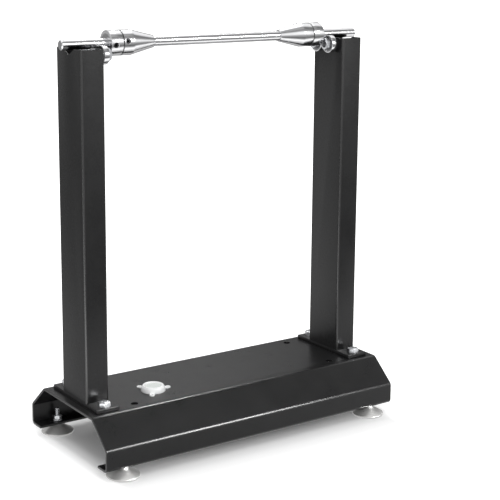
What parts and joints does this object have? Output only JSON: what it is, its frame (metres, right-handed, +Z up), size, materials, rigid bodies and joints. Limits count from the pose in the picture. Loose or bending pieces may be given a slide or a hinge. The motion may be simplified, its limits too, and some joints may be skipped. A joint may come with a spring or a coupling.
{
  "type": "wheel balancing stand",
  "caption": "Bench stand whose rod with centring cones turns freely on ball bearings on top of its uprights, to balance a motorcycle wheel.",
  "frame": {"origin": "centre of the four feet, on the floor", "axes": "+X along the rod from the left upright, which has the spirit level by it, to the right one; +Y from front to back; +Z up"},
  "size_m": [0.42, 0.206, 0.5026],
  "materials": {
    "black_powder_coat": "satin black powder coat",
    "turned_steel": "turned and polished",
    "zinc_plate": "bright zinc plate",
    "nickel_plate": "brushed nickel plate",
    "bearing_steel": "ground and polished",
    "dark_steel": "black oxide",
    "white_plastic": "gloss moulded white",
    "clear_plastic": "clear, polished",
    "level_liquid": "pale clear liquid"
  },
  "bodies": {
    "stand": {"base_channel": "black_powder_coat", "left_upright_plate": "black_powder_coat", "right_upright_plate": "black_powder_coat", "left_upright_tube": "black_powder_coat", "right_upright_tube": "black_powder_coat", "upright_bolts": "zinc_plate", "upright_nuts": "zinc_plate", "foot_washers": "zinc_plate", "foot_nuts": "zinc_plate", "bearing_inner_rings": "bearing_steel", "bearing_spacers": "turned_steel", "bearing_bolts": "zinc_plate", "bearing_nuts": "zinc_plate", "level_case": "white_plastic", "level_liquid": "level_liquid", "level_lens": "clear_plastic"},
    "rod": {"rod": "turned_steel"},
    "left_front_bearing": {"left_front_bearing_outer_ring": "bearing_steel"},
    "left_back_bearing": {"left_back_bearing_outer_ring": "bearing_steel"},
    "right_front_bearing": {"right_front_bearing_outer_ring": "bearing_steel"},
    "right_back_bearing": {"right_back_bearing_outer_ring": "bearing_steel"},
    "left_collar": {"left_collar": "turned_steel"},
    "left_cone": {"left_cone": "turned_steel"},
    "left_collar_grub_screw": {"left_collar_grub_screw": "dark_steel"},
    "left_cone_grub_screw": {"left_cone_grub_screw": "dark_steel"},
    "right_collar": {"right_collar": "turned_steel"},
    "right_cone": {"right_cone": "turned_steel"},
    "right_collar_grub_screw": {"right_collar_grub_screw": "dark_steel"},
    "right_cone_grub_screw": {"right_cone_grub_screw": "dark_steel"},
    "front_left_foot": {"front_left_foot_pad": "nickel_plate", "front_left_foot_stud": "zinc_plate"},
    "front_right_foot": {"front_right_foot_pad": "nickel_plate", "front_right_foot_stud": "zinc_plate"},
    "back_left_foot": {"back_left_foot_pad": "nickel_plate", "back_left_foot_stud": "zinc_plate"},
    "back_right_foot": {"back_right_foot_pad": "nickel_plate", "back_right_foot_stud": "zinc_plate"}
  },
  "joints": [
    {"name": "rod_spin", "type": "hinge", "parent": "stand", "child": "rod", "pos_m": [0, 0, 0.48758], "axis": [1, 0, 0], "continuous": true},
    {"name": "left_front_bearing_spin", "type": "hinge", "parent": "stand", "child": "left_front_bearing", "pos_m": [-0.1625, -0.012, 0.4755], "axis": [1, 0, 0], "continuous": true},
    {"name": "left_back_bearing_spin", "type": "hinge", "parent": "stand", "child": "left_back_bearing", "pos_m": [-0.1625, 0.012, 0.4755], "axis": [1, 0, 0], "continuous": true},
    {"name": "right_front_bearing_spin", "type": "hinge", "parent": "stand", "child": "right_front_bearing", "pos_m": [0.1625, -0.012, 0.4755], "axis": [1, 0, 0], "continuous": true},
    {"name": "right_back_bearing_spin", "type": "hinge", "parent": "stand", "child": "right_back_bearing", "pos_m": [0.1625, 0.012, 0.4755], "axis": [1, 0, 0], "continuous": true},
    {"name": "left_collar_slide", "type": "slide", "parent": "rod", "child": "left_collar", "axis": [1, 0, 0], "range_m": [0, 0.06]},
    {"name": "left_cone_slide", "type": "slide", "parent": "left_collar", "child": "left_cone", "axis": [1, 0, 0], "range_m": [0, 0.028]},
    {"name": "left_collar_grub_screw_travel", "type": "slide", "parent": "left_collar", "child": "left_collar_grub_screw", "axis": [0, -0.9925, -0.1219], "range_m": [0, 0.0025]},
    {"name": "left_cone_grub_screw_travel", "type": "slide", "parent": "left_cone", "child": "left_cone_grub_screw", "axis": [0, -0.9848, 0.1736], "range_m": [0, 0.0025]},
    {"name": "right_collar_slide", "type": "slide", "parent": "rod", "child": "right_collar", "axis": [-1, 0, 0], "range_m": [0, 0.06]},
    {"name": "right_cone_slide", "type": "slide", "parent": "right_collar", "child": "right_cone", "axis": [-1, 0, 0], "range_m": [0, 0.028]},
    {"name": "right_collar_grub_screw_travel", "type": "slide", "parent": "right_collar", "child": "right_collar_grub_screw", "axis": [0, 0.9563, 0.2924], "range_m": [0, 0.0025]},
    {"name": "right_cone_grub_screw_travel", "type": "slide", "parent": "right_cone", "child": "right_cone_grub_screw", "axis": [0, 1, 0], "range_m": [0, 0.0025]},
    {"name": "front_left_foot_height", "type": "slide", "parent": "stand", "child": "front_left_foot", "axis": [0, 0, 1], "range_m": [-0.006, 0]},
    {"name": "front_right_foot_height", "type": "slide", "parent": "stand", "child": "front_right_foot", "axis": [0, 0, 1], "range_m": [-0.006, 0]},
    {"name": "back_left_foot_height", "type": "slide", "parent": "stand", "child": "back_left_foot", "axis": [0, 0, 1], "range_m": [-0.006, 0]},
    {"name": "back_right_foot_height", "type": "slide", "parent": "stand", "child": "back_right_foot", "axis": [0, 0, 1], "range_m": [-0.006, 0]}
  ],
  "couplings": [
    {"joint": "left_front_bearing_spin", "follows": "rod_spin", "ratio": -0.54546},
    {"joint": "left_back_bearing_spin", "follows": "rod_spin", "ratio": -0.54546},
    {"joint": "right_front_bearing_spin", "follows": "rod_spin", "ratio": -0.54546},
    {"joint": "right_back_bearing_spin", "follows": "rod_spin", "ratio": -0.54546}
  ]
}
